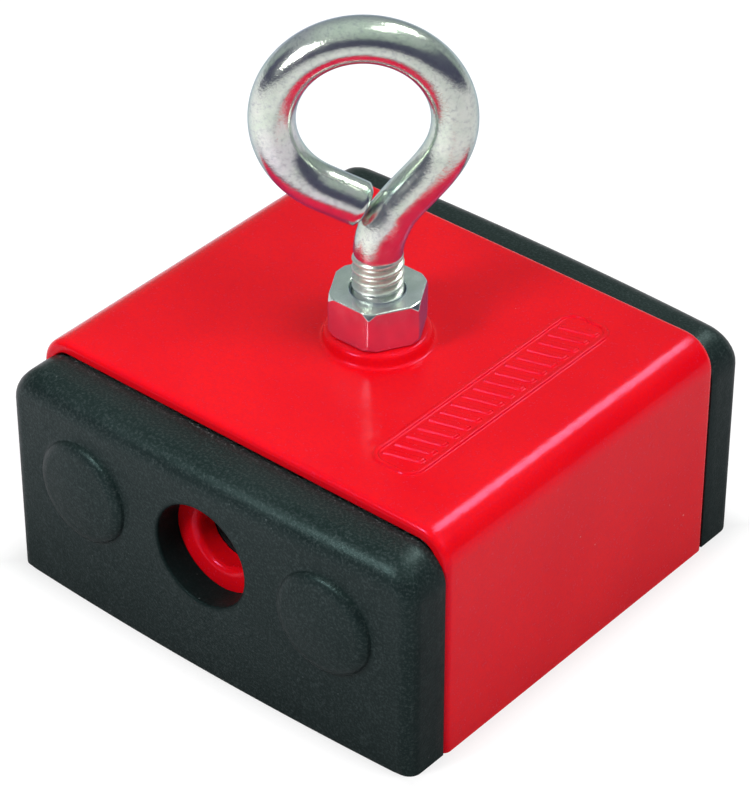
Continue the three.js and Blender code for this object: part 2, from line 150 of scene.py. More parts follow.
def finish_piece(obj, material, body, node, crease):
    """Shades a piece smooth up to the crease angle, gives it its material, ties it to its body and hides
    the CAD node that it stands for.
    """
    for polygon in obj.data.polygons:
        polygon.use_smooth = True
    obj.data.set_sharp_from_angle(angle=math.radians(crease))
    obj.data.materials.clear()
    obj.data.materials.append(material)
    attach(obj, body)
    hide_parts(node)
    return obj


def carve(obj, cutters):
    """Cuts the cutters out of obj, and removes them."""
    for cutter in cutters:
        cut = obj.modifiers.new("cut", "BOOLEAN")
        cut.operation = "DIFFERENCE"
        cut.solver = "EXACT"
        cut.object = cutter
    bpy.context.view_layer.update()
    graph = bpy.context.evaluated_depsgraph_get()
    carved = bpy.data.meshes.new_from_object(obj.evaluated_get(graph))
    obj.modifiers.clear()
    obj.data = carved
    for cutter in cutters:
        bpy.data.objects.remove(cutter)


def turned_round(obj):
    """Turns a piece drawn at the rear half a turn about Z, to the front."""
    flip = np.array([v.co for v in obj.data.vertices], np.float32)
    flip[:, :2] *= -1
    obj.data.vertices.foreach_set("co", flip.ravel())
    obj.data.update()
    return obj


def fillet(points, radius, steps):
    """Rounds the inner corners of an open line of (r, z) points."""
    points = [np.array(p, float) for p in points]
    made = [points[0]]
    for before, corner, after in zip(points, points[1:], points[2:]):
        into, out = corner - before, after - corner
        reach = min(radius, TIGHTEST * np.linalg.norm(into), TIGHTEST * np.linalg.norm(out))
        start = corner - into / np.linalg.norm(into) * reach
        end = corner + out / np.linalg.norm(out) * reach
        for k in range(steps + 1):
            t = k / steps
            made.append((1 - t) ** 2 * start + 2 * t * (1 - t) * corner + t * t * end)
    made.append(points[-1])
    return made


def lathe(surface, profile, sides, place):
    """Revolves (r, height) pairs from axis to axis. place(r, angle, height) gives each point."""
    angles = 2 * np.pi * np.arange(sides) / sides
    loops = [surface.add([place(r, a, height) for a in angles]) for r, height in profile[1:-1]]
    surface.rings(loops)
    surface.fan(loops[0], place(0, 0, profile[0][1]))
    surface.fan(loops[-1], place(0, 0, profile[-1][1]))


def along_y(x, z):
    """Placing function for a lathe whose axis runs along Y through (x, z)."""
    return lambda r, a, height: (x + r * math.cos(a), height, z + r * math.sin(a))


def cylinder_cutter(name, radius, y_low, y_high, x, z):
    surface = Surface()
    profile = [(0, y_low), (radius, y_low), (radius, y_high), (0, y_high)]
    lathe(surface, profile, HOLE_SIDES, along_y(x, z))
    return surface.made(name)


def quarter_turn(out, inset, steps):
    """(distance in, inset) pairs round a rounded edge, from the end face to the side."""
    turn = [0.5 * math.pi * k / steps for k in range(steps + 1)]
    return [(out * (1 - math.cos(a)), inset * (1 - math.sin(a))) for a in turn]


def smoothstep(value, low, high):
    """0 below low, 1 above high, and an S-shaped rise between them."""
    t = np.clip((value - low) / (high - low), 0.0, 1.0)
    return t * t * (3 - 2 * t)


def joined(*parts):
    """One rising list of grid lines out of several that share their ends."""
    return np.array(sorted({round(float(v), 4) for part in parts for v in part}))


def window_loop(grid, i_low, i_high, j_low, j_high):
    """Indices round a rectangular window of grid[j][i], counter-clockwise."""
    loop = [grid[j_low][i] for i in range(i_low, i_high)]
    loop += [grid[j][i_high] for j in range(j_low, j_high)]
    loop += [grid[j_high][i] for i in range(i_high, i_low, -1)]
    loop += [grid[j][i_low] for j in range(j_high, j_low, -1)]
    return loop


def arched_loop(half_width, low, high, top_radius, low_radius=0.0):
    """Rounded rectangle as (x, z) points, counter-clockwise from the lower left."""
    loop = []
    corners = (
        (half_width - low_radius, low + low_radius, low_radius, -90),
        (half_width - top_radius, high - top_radius, top_radius, 0),
        (-half_width + top_radius, high - top_radius, top_radius, 90),
        (-half_width + low_radius, low + low_radius, low_radius, 180),
    )
    for x, z, radius, start in corners:
        if radius <= 0:
            loop.append((x, z))
            continue
        for k in range(CORNER_STEPS + 1):
            angle = math.radians(start + 90 * k / CORNER_STEPS)
            loop.append((x + radius * math.cos(angle), z + radius * math.sin(angle)))
    return loop


def soft_prism(name, centre_x, half_width, low, high, y_low, y_high, top_radius, edge=0.25):
    """Block along Y with its four long corners and its end edges rounded."""
    surface = Surface()
    low_radius = edge * LOW_CORNER
    levels = [(y_low + out, inset) for out, inset in quarter_turn(edge, edge, EDGE_STEPS)]
    levels += [(y_low + y_high - y, inset) for y, inset in reversed(levels)]
    loops = []
    for y, inset in levels:
        loop = arched_loop(half_width - inset, low + inset, high - inset,
                           top_radius - inset, low_radius - inset)
        loops.append(surface.add([(centre_x + x, y, z) for x, z in loop]))
    surface.tube(loops)
    return surface.made(name)


# ------------ materials

FLOOR_GLOW = (0.80, 0.40)  # to the left and to the right of the block
FLOOR_GLOW_ACROSS = (-0.05, 0.12)  # the glow changes between these X, in metres
FLOOR_GLOW_PAINTED_SHADE = (0.05, 0.1)  # painted shade: width of the dimmer belt round the block, and the glow's share at the block
FLOOR_SEEN = 0.84
FLOOR_SEEN_PAINTED_SHADOW = (0.004, 0.78)  # the same pair for the painted contact shadow that the camera sees
SEAM_DUST = (0.0256, 0.0266)  # dust gathers on a cap between the seam and this far along Y
SEAM_DUST_DEPTH = 0.0006  # and no lower than this under the cap's top
PAINTED_SHADE_SIDES = (0.80, 0.97)  # painted shade: the rubber is shaded duller and darker where its normal leans this far along X
PAINTED_SHADE_HOLE = (0.0069, 0.0074)  # and painted shade on the wall of the cap's hole, between these distances from its axis
DULL_THREAD = ((THREAD_TOP - 0.4) * MM, (THREAD_TOP + 0.6) * MM)  # the dull finish fades here


class Nodes:
    """Builds the nodes of one material, or of a world."""

    def __init__(self, name, kind=bpy.data.materials, shader="Principled BSDF"):
        self.owner = kind.new(name)
        self.owner.use_nodes = True
        self.tree = self.owner.node_tree
        self.shader = self.tree.nodes[shader]
        self.coordinates = self.tree.nodes.new("ShaderNodeTexCoord").outputs
        self.place = self.coordinates["Object"]

    def node(self, kind, inputs=None, **settings):
        made = self.tree.nodes.new(kind)
        for key, value in settings.items():
            setattr(made, key, value)
        for key, value in (inputs or {}).items():
            self.put(value, made.inputs[key])
        return made

    def put(self, value, socket):
        if isinstance(value, bpy.types.NodeSocket):
            self.tree.links.new(value, socket)
        else:
            socket.default_value = value

    def stretched(self, x, y, z):
        return self.node("ShaderNodeMapping", {"Vector": self.place, "Scale": (x, y, z)}).outputs[0]

    def noise(self, scale, detail=3.0, roughness=0.5, vector=None):
        inputs = {"Vector": vector or self.place, "Scale": scale, "Detail": detail}
        inputs["Roughness"] = roughness
        return self.node("ShaderNodeTexNoise", inputs).outputs["Fac"]

    def specks(self, scale, size):
        """1 inside small round specks scattered in space, 0 elsewhere."""
        cells = self.node("ShaderNodeTexVoronoi", {"Vector": self.place, "Scale": scale}).outputs
        return self.maths("LESS_THAN", cells["Distance"], self.times(cells["Color"], size))

    def span(self, value, from_low, from_high, to_low, to_high):
        """Maps one range onto another, held at its ends."""
        inputs = {"Value": value, 1: from_low, 2: from_high, 3: to_low, 4: to_high}
        return self.node("ShaderNodeMapRange", inputs, clamp=True).outputs[0]

    def maths(self, operation, one, other=0.0):
        return self.node("ShaderNodeMath", {0: one, 1: other}, operation=operation).outputs[0]

    def times(self, one, other):
        return self.maths("MULTIPLY", one, other)

    def plus(self, one, other):
        return self.maths("ADD", one, other)

    def vectors(self, operation, one, other=(0, 0, 0)):
        """Vector maths; LENGTH gives a number, the others a vector."""
        made = self.node("ShaderNodeVectorMath", {0: one, 1: other}, operation=operation)
        return made.outputs["Value" if operation == "LENGTH" else "Vector"]

    def axis(self, vector, name):
        return self.node("ShaderNodeSeparateXYZ", {"Vector": vector}).outputs[name]

    def mix(self, factor, one, other):
        made = self.node("ShaderNodeMix", data_type="RGBA")
        self.put(factor, made.inputs[0])
        self.put(one, made.inputs[6])
        self.put(other, made.inputs[7])
        return made.outputs[2]

    def bump(self, height, distance, strength=1.0, normal=None):
        inputs = {"Height": height, "Distance": distance, "Strength": strength}
        if normal is not None:
            inputs["Normal"] = normal
        return self.node("ShaderNodeBump", inputs).outputs[0]

    def finish(self, **inputs):
        """Sets the shader's inputs."""
        for key, value in inputs.items():
            self.put(value, self.shader.inputs[key.replace("_", " ")])
        return self.owner

    def either(self, factor, other):
        """Shows the other shader where the factor is 1."""
        output = next(node for node in self.tree.nodes if node.type.startswith("OUTPUT"))
        inputs = {0: factor, 1: self.shader.outputs[0], 2: other.outputs[0]}
        self.put(self.node("ShaderNodeMixShader", inputs).outputs[0], output.inputs["Surface"])


def red_paint():
    """Glossy red powder coat: slight orange peel, a little tone drift and a few pale dust specks."""
    n = Nodes("red_paint")
    drift = n.span(n.noise(60, 2), 0.35, 0.65, 0, 1)
    colour = n.mix(drift, (0.67, 0.002, 0.006, 1), (0.73, 0.004, 0.007, 1))
    mottle = n.span(n.noise(2600, 4, 0.65), 0.42, 0.72, 0, 0.75)
    colour = n.mix(mottle, colour, (0.58, 0.002, 0.016, 1))
    dust = n.times(n.specks(620, 0.10), n.span(n.noise(300, 2), 0.64, 0.72, 0, 0.6))
    colour = n.mix(dust, colour, (0.95, 0.5, 0.5, 1))
    peel = n.bump(n.noise(420, 2), 0.00002, 0.35)
    grain = n.bump(n.noise(2600, 2), 0.00002, 0.8, peel)
    speckle = n.span(n.noise(2600, 3, 0.7), 0.42, 0.68, 0, 0.16)
    rough = n.plus(n.span(n.noise(500, 3), 0.3, 0.7, 0.11, 0.17), speckle)
    return n.finish(Base_Color=colour, Roughness=rough, Normal=grain,
                    Specular_IOR_Level=0.22, Specular_Tint=(1.0, 0.40, 0.92, 1))


def black_rubber():
    """Matte moulded rubber: fine grain, uneven bloom, dust at the seam, and painted shade that dulls the
    sides and the hole.
    """
    n = Nodes("black_rubber")
    sideways = n.maths("ABSOLUTE", n.axis(n.coordinates["Normal"], "X"))
    offset = n.vectors("MULTIPLY", n.vectors("SUBTRACT", n.place, (0, 0, TIE_Z * MM)), (1, 0, 1))
    from_axis = n.vectors("LENGTH", offset)
    # Painted shade: less reflection and less pale mottle on the sides facing along X and on the hole's
    # wall.
    painted_shade_factor = n.times(n.span(sideways, *PAINTED_SHADE_SIDES, 1, 0.45), n.span(from_axis, *PAINTED_SHADE_HOLE, 0.2, 1))
    bloom = n.span(n.noise(110, 5, 0.6), 0.35, 0.7, 0, 1)
    colour = n.mix(bloom, (0.004, 0.009, 0.009, 1), (0.008, 0.014, 0.014, 1))
    mottle = n.times(painted_shade_factor, n.span(n.noise(3000, 4, 0.7), 0.48, 0.70, 0, 0.8))
    colour = n.mix(mottle, colour, (0.040, 0.054, 0.054, 1))
    dust = n.times(n.specks(1000, 0.13), n.span(n.noise(240, 2), 0.5, 0.62, 0, 0.8))
    colour = n.mix(dust, colour, (0.08, 0.10, 0.10, 1))
    cap_top = CAP_HIGH[2] * MM
    seam = n.times(n.span(n.maths("ABSOLUTE", n.axis(n.place, "Y")), *SEAM_DUST, 1, 0),
                   n.span(n.axis(n.place, "Z"), cap_top - SEAM_DUST_DEPTH, cap_top, 0, 1))
    grit = n.times(n.span(n.noise(2300, 4, 0.7), 0.56, 0.66, 0, 0.75), seam)
    colour = n.mix(grit, colour, (0.20, 0.23, 0.23, 1))
    grain = n.bump(n.noise(3200, 3, 0.7), 0.00006, 0.6)
    soft = n.bump(n.noise(350, 2), 0.00005, 0.3, grain)
    rough = n.span(n.noise(800, 3), 0.3, 0.7, 0.33, 0.43)
    return n.finish(Base_Color=colour, Roughness=rough, Normal=soft,
                    Specular_IOR_Level=n.times(painted_shade_factor, 0.23), Specular_Tint=(0.60, 1.0, 0.93, 1))


def zinc_plate():
    """Bright zinc over drawn rod: fine mottle, soft dents, green and violet casts, duller thread."""
    n = Nodes("zinc_plate")
    tone = n.span(n.noise(260, 4, 0.6), 0.35, 0.68, 0, 1)
    colour = n.mix(tone, (0.68, 0.79, 0.64, 1), (0.82, 0.89, 0.76, 1))
    violet = n.span(n.noise(90, 3, 0.6), 0.52, 0.68, 0, 0.6)
    colour = n.mix(violet, colour, (0.80, 0.74, 0.80, 1))
    stain = n.span(n.noise(1800, 4, 0.7), 0.50, 0.76, 0, 0.7)
    colour = n.mix(stain, colour, (0.42, 0.46, 0.46, 1))
    thread = n.span(n.axis(n.place, "Z"), *DULL_THREAD, 0.23, 0)
    rough = n.plus(n.span(n.noise(900, 4, 0.65), 0.3, 0.75, 0.12, 0.23), thread)
    dents = n.bump(n.noise(330, 2), 0.00006, 0.4)
    waves = n.bump(n.noise(1000, 3, 0.6), 0.00003, 0.8, dents)
    grain = n.bump(n.noise(3000, 3, 0.7), 0.00002, 0.8, waves)
    grit = n.bump(n.noise(6500, 2, 0.6), 0.000012, 0.8, grain)
    return n.finish(Base_Color=colour, Metallic=1.0, Roughness=rough, Normal=grit,
                    Specular_Tint=(0.40, 0.54, 0.54, 1), Sheen_Weight=0.15, Sheen_Roughness=0.8,
                    Sheen_Tint=(0.46, 0.26, 1.0, 1))


def satin_zinc():
    """Zinc-plated nut: duller than the rod, with faint milled lines round it."""
    n = Nodes("satin_zinc")
    tone = n.span(n.noise(400, 4, 0.6), 0.35, 0.68, 0, 1)
    colour = n.mix(tone, (0.70, 0.81, 0.71, 1), (0.84, 0.94, 0.85, 1))
    lines = n.noise(1, 3, 0.6, n.stretched(5200, 5200, 420))
    rough = n.plus(n.span(n.noise(700, 3), 0.3, 0.7, 0.14, 0.22), n.times(lines, 0.08))
    brushed = n.bump(lines, 0.00002, 0.5)
    return n.finish(Base_Color=colour, Metallic=1.0, Roughness=rough, Normal=brushed,
                    Specular_Tint=(0.50, 0.60, 0.75, 1), Sheen_Weight=0.14, Sheen_Roughness=0.8,
                    Sheen_Tint=(0.50, 0.32, 1.0, 1))


def ground_steel():
    """Surface-ground pole face: fine parallel lines along X, slight stains."""
    n = Nodes("ground_steel")
    lines = n.noise(1, 4, 0.65, n.stretched(180, 6000, 900))
    stain = n.span(n.noise(120, 4, 0.6), 0.4, 0.7, 0, 0.5)
    colour = n.mix(stain, (0.52, 0.53, 0.54, 1), (0.38, 0.37, 0.35, 1))
    rough = n.span(lines, 0.3, 0.7, 0.24, 0.42)
    return n.finish(Base_Color=colour, Metallic=1.0, Roughness=rough,
                    Normal=n.bump(lines, 0.00002, 0.4))


def ferrite():
    """Sintered ceramic magnet: dark grey, finely pitted, chalky."""
    n = Nodes("ferrite")
    tone = n.span(n.noise(500, 5, 0.65), 0.35, 0.7, 0, 1)
    colour = n.mix(tone, (0.030, 0.030, 0.033, 1), (0.058, 0.057, 0.060, 1))
    pits = n.specks(1500, 0.3)
    colour = n.mix(n.times(pits, 0.7), colour, (0.015, 0.015, 0.016, 1))
    rough = n.span(n.noise(1200, 3), 0.3, 0.7, 0.55, 0.8)
    return n.finish(Base_Color=colour, Roughness=rough, Normal=n.bump(n.noise(2500, 4), 0.00005, 0.5))


def black_plastic():
    """Moulded spacer: even black with a light spark-eroded grain."""
    n = Nodes("black_plastic")
    tone = n.span(n.noise(300, 3), 0.35, 0.7, 0, 1)
    colour = n.mix(tone, (0.018, 0.018, 0.020, 1), (0.028, 0.028, 0.030, 1))
    rough = n.span(n.noise(1600, 3), 0.3, 0.7, 0.38, 0.52)
    return n.finish(Base_Color=colour, Roughness=rough, Normal=n.bump(n.noise(2200, 3), 0.00003, 0.5))


def floor_white():
    """Pale backlit floor, clear from below so that the working face can be seen; its glow dims round the
    block as painted shade, with a painted contact shadow.
    """
    n = Nodes("floor_white")
    tone = n.span(n.noise(4, 2), 0.3, 0.7, 0, 1)
    colour = n.mix(tone, (0.24, 0.24, 0.24, 1), (0.26, 0.26, 0.26, 1))
    edge = (COVER_HALF_WIDTH * MM, CAP_CORNER_DEPTH * MM, 0)
    beyond = n.vectors("SUBTRACT", n.vectors("ABSOLUTE", n.place), edge)
    reach = n.maths("MAXIMUM", n.axis(beyond, "X"), n.axis(beyond, "Y"))
    seen = n.node("ShaderNodeLightPath").outputs["Is Camera Ray"]
    sideways = n.span(n.axis(n.place, "X"), *FLOOR_GLOW_ACROSS, *FLOOR_GLOW)
    # Painted shade: the glow drops towards the block's footprint, both as light and as seen by the
    # camera.
    lighting = n.times(sideways, n.span(reach, 0, *FLOOR_GLOW_PAINTED_SHADE, 1))
    look = n.times(FLOOR_SEEN, n.span(reach, 0, *FLOOR_SEEN_PAINTED_SHADOW, 1))
    glow = n.span(seen, 0, 1, lighting, look)
    tint = n.mix(seen, (0.97, 0.90, 0.97, 1), (1, 1, 1, 1))
    material = n.finish(Base_Color=colour, Roughness=0.9, Specular_IOR_Level=0.1,
                        Emission_Color=tint, Emission_Strength=glow)
    below = n.node("ShaderNodeNewGeometry").outputs["Backfacing"]
    n.either(below, n.node("ShaderNodeBsdfTransparent"))
    return material


def flag_black():
    """Dull black board that keeps light off the camera's side."""
    n = Nodes("flag_black")
    colour = n.mix(n.noise(6, 2), (0.04, 0.05, 0.065, 1), (0.07, 0.085, 0.10, 1))
    return n.finish(Base_Color=colour, Roughness=0.9)


RED = red_paint()
RUBBER = black_rubber()
ZINC = zinc_plate()
SATIN = satin_zinc()
STEEL = ground_steel()
FERRITE = ferrite()
PLASTIC = black_plastic()

# ------------ cover

PANEL_X = 17.8
PANEL_WIDTH = 7.0
PANEL_LENGTH = 38.4
PANEL_CORNER = 2.2
PANEL_RELIEF = 0.25
PANEL_LINE = 0.6
PANEL_BARS = 17
PANEL_BAR_WIDTH = 0.95
PANEL_BAR_PITCH = 2.05
PANEL_BAR_REACH = PANEL_WIDTH / 2 - 2 * PANEL_LINE
PANEL_BAR_SLANT = 1.4
PANEL_SOFT = 0.11  # half the width of the sloping side of a raised line
PANEL_STEP = 0.075  # between the grid lines over the panel
PANEL_MARGIN = 0.2  # the fine grid goes on this far past the border
BEND_LINES = 15
SIDE_LINES = 8
PLAIN_X = (10.5, 12.2)  # grid lines between the collar's window and the panel
PLAIN_Y = (21, 23)  # and between the panel and the open ends
INNER_Y = 18  # and inside, past the window
OUTER_EDGE = (1.0, 0.85)  # rounding of the sheet's outer rim at the open ends: along Y, down Z
RIM_STEPS = 7
INNER_EDGE = (0.25, 0.25)
WINDOW = 9.0  # half side of the square of the top that the collar's rings take up
WINDOW_LINES = 61
WINDOW_SLACK = 1e-6
COLLAR_BASE = 8.3
COLLAR_WALL = (7.9, 6.85, 6.5)  # radii at the foot of the fillet, at its inner corner and at the top
COLLAR_SHOULDER = 0.75
COLLAR_BORE = 3.45
COLLAR_MOUTH = (0.9, 0.35)  # how far the bore's mouth opens out, and how deep


def rounded_box_distance(x, y, half_x, half_y, radius):
    across = np.abs(x) - (half_x - radius)
    along = np.abs(y) - (half_y - radius)
    outside = np.hypot(np.maximum(across, 0), np.maximum(along, 0))
    return outside + np.minimum(np.maximum(across, along), 0) - radius


def panel_height(x, y):
    """Raised height of the top at points x, y: a thin border with slanted bars inside."""
    x = x - PANEL_X
    rim = rounded_box_distance(x, y, PANEL_WIDTH / 2, PANEL_LENGTH / 2, PANEL_CORNER)
    distance = np.abs(rim + PANEL_LINE / 2) - PANEL_LINE / 2
    straight = y - PANEL_BAR_SLANT * x / (2 * PANEL_BAR_REACH)
    last = (PANEL_BARS - 1) / 2
    nearest = np.clip(np.round(straight / PANEL_BAR_PITCH), -last, last) * PANEL_BAR_PITCH
    bar = rounded_box_distance(x, straight - nearest, PANEL_BAR_REACH, PANEL_BAR_WIDTH / 2, 0.2)
    distance = np.minimum(distance, bar)
    return PANEL_RELIEF * (1 - smoothstep(distance, -PANEL_SOFT, PANEL_SOFT))


def channel_profile(top_lines, offset):
    """(x, z, normal x, normal z) round the upside-down channel, offset inwards from its outer face."""
    centre_x, centre_z = BEND_RADIUS - COVER_HALF_WIDTH, COVER_HEIGHT - BEND_RADIUS
    left = [(-COVER_HALF_WIDTH, z, -1, 0) for z in np.linspace(0, centre_z, SIDE_LINES)[:-1]]
    for angle in np.linspace(math.pi, math.pi / 2, BEND_LINES)[:-1]:
        nx, nz = math.cos(angle), math.sin(angle)
        left.append((centre_x + BEND_RADIUS * nx, centre_z + BEND_RADIUS * nz, nx, nz))
    points = left + [(x, COVER_HEIGHT, 0, 1) for x in top_lines]
    points += [(-x, z, -nx, nz) for x, z, nx, nz in reversed(left)]
    return [(x - nx * offset, z - nz * offset, nx, nz) for x, z, nx, nz in points]


def cover_rows(y_lines, edge):
    """(y, inset) of each row: the soft edge at one end, the grid lines, the soft edge at the other."""
    end = [(out - COVER_HALF_LENGTH, inset) for out, inset in quarter_turn(*edge, RIM_STEPS)]
    rows = end[:-1] + [(y, 0.0) for y in y_lines]
    return rows + [(-y, inset) for y, inset in reversed(end[:-1])]


def cover_skin(surface, top_lines, y_lines, offset, edge):
    """One skin of the cover, outer or inner, as a grid with a square window for the collar."""
    profile = channel_profile(top_lines, offset)
    rows = cover_rows(y_lines, edge)
    outside = offset == 0
    sign = 1 if outside else -1
    x, z, nx, nz = (np.array(v) for v in zip(*profile))
    lift = np.where(nz == 1, float(outside), 0.0)
    grid = []
    for y, inset in rows:
        raised = lift * panel_height(x, y) if abs(y) < PANEL_LENGTH / 2 + 1 else 0 * x
        points = np.stack([x - sign * nx * inset, 0 * x + y, z - sign * nz * inset + raised], 1)
        grid.append(surface.add(points))
    reach = WINDOW + WINDOW_SLACK
    columns = [k for k, p in enumerate(profile) if p[3] == 1 and abs(p[0]) <= reach]
    lines = [k for k, (y, _) in enumerate(rows) if abs(y) <= reach]
    window = (columns[0], columns[-1], lines[0], lines[-1])
    surface.quads(grid, [window])
    return grid, window_loop(grid, *window)


def circle_rings(surface, loop, radius, z, steps):
    """Rings that turn a square loop into a circle of the given radius, at height z."""
    square = [surface.points[k] for k in loop]
    angles = [math.atan2(p[1], p[0]) for p in square]
    loops = [loop]
    for k in range(1, steps + 1):
        t = k / steps
        ring = [((1 - t) * p[0] + t * radius * math.cos(a),
                 (1 - t) * p[1] + t * radius * math.sin(a), z) for p, a in zip(square, angles)]
        loops.append(surface.add(ring))
    return loops, angles


def cover():
    """The bent sheet with its embossed panel and collar, in one closed mesh."""
    surface = Surface()
    flat = COVER_HALF_WIDTH - BEND_RADIUS
    end = COVER_HALF_LENGTH - OUTER_EDGE[0]
    panel_low = PANEL_X - PANEL_WIDTH / 2 - PANEL_MARGIN
    panel_high = PANEL_X + PANEL_WIDTH / 2 + PANEL_MARGIN
    panel_end = PANEL_LENGTH / 2 + PANEL_MARGIN
    across = round((panel_high - panel_low) / PANEL_STEP)
    along = round(2 * panel_end / PANEL_STEP)
    window = np.linspace(-WINDOW, WINDOW, WINDOW_LINES)
    top_lines = joined(np.linspace(-flat, -WINDOW, 14), window, PLAIN_X,
                       np.linspace(panel_low, panel_high, across + 1), np.linspace(panel_high, flat, 5))
    plain = [s * y for s in (-1, 1) for y in (*PLAIN_Y, end)]
    y_lines = fitted(joined(plain, np.linspace(-panel_end, panel_end, along + 1)), -WINDOW, WINDOW)
    inner_lines = joined(np.linspace(-flat, -WINDOW, 6), window, np.linspace(WINDOW, flat, 6))
    inner_end = COVER_HALF_LENGTH - INNER_EDGE[0]
    inner_y = joined([-inner_end, -INNER_Y, INNER_Y, inner_end],
                     [y for y in y_lines if abs(y) <= WINDOW + WINDOW_SLACK])
    outer, outer_loop = cover_skin(surface, top_lines, y_lines, 0.0, OUTER_EDGE)
    inner, inner_loop = cover_skin(surface, inner_lines, inner_y, SHEET, INNER_EDGE)
    collar(surface, outer_loop, inner_loop)
    for row in (0, -1):
        surface.faces.append(tuple(outer[row] + inner[row][::-1]))
    for column in (0, -1):
        outer_edge = [r[column] for r in outer]
        inner_edge = [r[column] for r in inner]
        surface.faces.append(tuple(outer_edge + inner_edge[::-1]))
    obj = surface.made("cover_sheet")
    return finish_piece(obj, RED, BLOCK, "cover", crease=50)


def nearest(lines, value):
    return int(np.argmin(abs(lines - value)))


def fitted(lines, *wanted):
    """Moves the grid line nearest to each wanted value onto it."""
    for value in wanted:
        lines[nearest(lines, value)] = value
    return lines


def collar(surface, outer_loop, inner_loop):
    """Drawn-up collar: a soft fillet out of the top, a rounded shoulder, and the bore down through."""
    top, floor = COLLAR_TOP, COVER_HEIGHT
    foot, corner, head = COLLAR_WALL
    opening, deep = COLLAR_MOUTH
    loops, angles = circle_rings(surface, outer_loop, COLLAR_BASE, floor, 6)
    wall = [(COLLAR_BASE, floor), (foot, floor), (corner, floor), (head, top),
            (COLLAR_BORE + opening, top), (COLLAR_BORE, top - deep), (COLLAR_BORE, floor - SHEET)]
    profile = fillet(wall, COLLAR_SHOULDER, 7)[1:]
    for r, z in profile:
        loops.append(surface.add([(r * math.cos(a), r * math.sin(a), z) for a in angles]))
    loops += circle_rings(surface, inner_loop, COLLAR_BASE, floor - SHEET, 2)[0][::-1]
    surface.rings(loops)


# ------------ end caps

CAP_HALF_WIDTH = CAP_HIGH[0]
CAP_TOP = CAP_HIGH[2]
CAP_BACK = CAP_LOW[1]
CAP_CORNER_DEPTH = 31.5
CAP_CROWN = 0.93
CAP_SIDE_EDGE = 2.0
CAP_TOP_EDGE = 3.2
CAP_LOW_EDGE = 0.35
CAP_SHOULDER = 4.6  # radius of the upper corners
CAP_WINDOW = 7.9  # half side of the square that a dome's or the hole's rings take up
CAP_WINDOW_LINES = 29
CAP_EDGE_STEPS = 9
CAP_HOLE_RADIUS = 6.85
CAP_HOLE_RIM = 0.4
CAP_DOME_RADIUS = 6.85
DOME_CREASE = ((0.45, 0.0), (0.16, 0.012), (0.05, 0.06), (0.005, 0.16))  # past the radius, rise
DOME_EDGE = 1.8
DOME_EDGE_HEIGHT = 1.1
DOME_EDGE_STEPS = 15
DOME_STEPS = 10
DOME_MARGIN = 0.035  # the sloping face lifts the dome's highest point this much over its middle
CAP_DOME_HEIGHT = (CAP_HIGH[1] - DOME_MARGIN - CAP_CORNER_DEPTH
                   - CAP_CROWN * (1 - (TIE_X / CAP_HALF_WIDTH) ** 2))
CAP_BACK_RIM = ((0.0, 0.0), (0.02, 0.05), (0.08, 0.08))  # how far in, and how far past the back
CORNER_CENTRE = (CAP_HALF_WIDTH - CAP_SHOULDER, CAP_TOP - CAP_SHOULDER)
CORNER_REACH = (CAP_SHOULDER - CAP_SIDE_EDGE, CAP_SHOULDER - CAP_TOP_EDGE)
PLATE_FACE = PLATE_HIGH[1]
POCKET_GAP = 0.25
POCKET_CORNER = 2.5
WELL_RADIUS = 5.85
WELL_DEPTH = 3.0  # from the plate's face


def cap_face(x):
    """Y of the crowned outer face."""
    return CAP_CORNER_DEPTH + CAP_CROWN * (1 - (x / CAP_HALF_WIDTH) ** 2)


def corner_shares(x, z):
    """How far a point of the face is into an upper corner, across and up; above 0 inside it."""
    return (abs(x) - CORNER_CENTRE[0]) / CORNER_REACH[0], (z - CORNER_CENTRE[1]) / CORNER_REACH[1]


def cap_corner(x, z):
    """Pulls a point of the rectangular face grid into the rounded upper corners."""
    p, q = corner_shares(x, z)
    if p <= 0 or q <= 0:
        return x, z
    across = CORNER_CENTRE[0] + CORNER_REACH[0] * p * math.sqrt(1 - q * q / 2)
    return math.copysign(across, x), CORNER_CENTRE[1] + CORNER_REACH[1] * q * math.sqrt(1 - p * p / 2)


def cap_lines():
    """Grid lines of a cap's face across X and up Z, with whole windows for the hole and domes."""
    side = CAP_HALF_WIDTH - CAP_SIDE_EDGE
    centres = (-TIE_X, 0.0, TIE_X)
    spans = [np.linspace(c - CAP_WINDOW, c + CAP_WINDOW, CAP_WINDOW_LINES) for c in centres]
    spans += [np.linspace(s * (TIE_X - CAP_WINDOW), s * CAP_WINDOW, 5) for s in (-1, 1)]
    spans += [np.linspace(s * (TIE_X + CAP_WINDOW), s * side, 7) for s in (-1, 1)]
    x_lines = joined(*spans)
    z_lines = joined(np.linspace(CAP_LOW_EDGE, TIE_Z - CAP_WINDOW, 9),
                     np.linspace(TIE_Z - CAP_WINDOW, TIE_Z + CAP_WINDOW, CAP_WINDOW_LINES),
                     np.linspace(TIE_Z + CAP_WINDOW, CAP_TOP - CAP_TOP_EDGE, 5))
    return x_lines, z_lines


def cap_window(surface, loop, centre, profile, close):
    """Fills a window of the face by rings of the profile's (radius, rise) about its centre."""
    corners = [surface.points[k] for k in loop]
    angles = [math.atan2(p[2] - TIE_Z, p[0] - centre) for p in corners]
    loops = [loop]
    start = profile[0][0]
    steps = 3
    for k in range(1, steps + 1):
        t = k / steps
        ring = []
        for p, a in zip(corners, angles):
            x = (1 - t) * p[0] + t * (centre + start * math.cos(a))
            z = (1 - t) * p[2] + t * (TIE_Z + start * math.sin(a))
            ring.append((x, cap_face(x), z))
        loops.append(surface.add(ring))
    for r, rise in profile[1:]:
        ring = [(centre + r * math.cos(a), cap_face(centre + r * math.cos(a)) + rise,
                 TIE_Z + r * math.sin(a)) for a in angles]
        loops.append(surface.add(ring))
    surface.rings(loops)
    surface.fan(loops[-1], (centre, cap_face(centre) + close, TIE_Z))


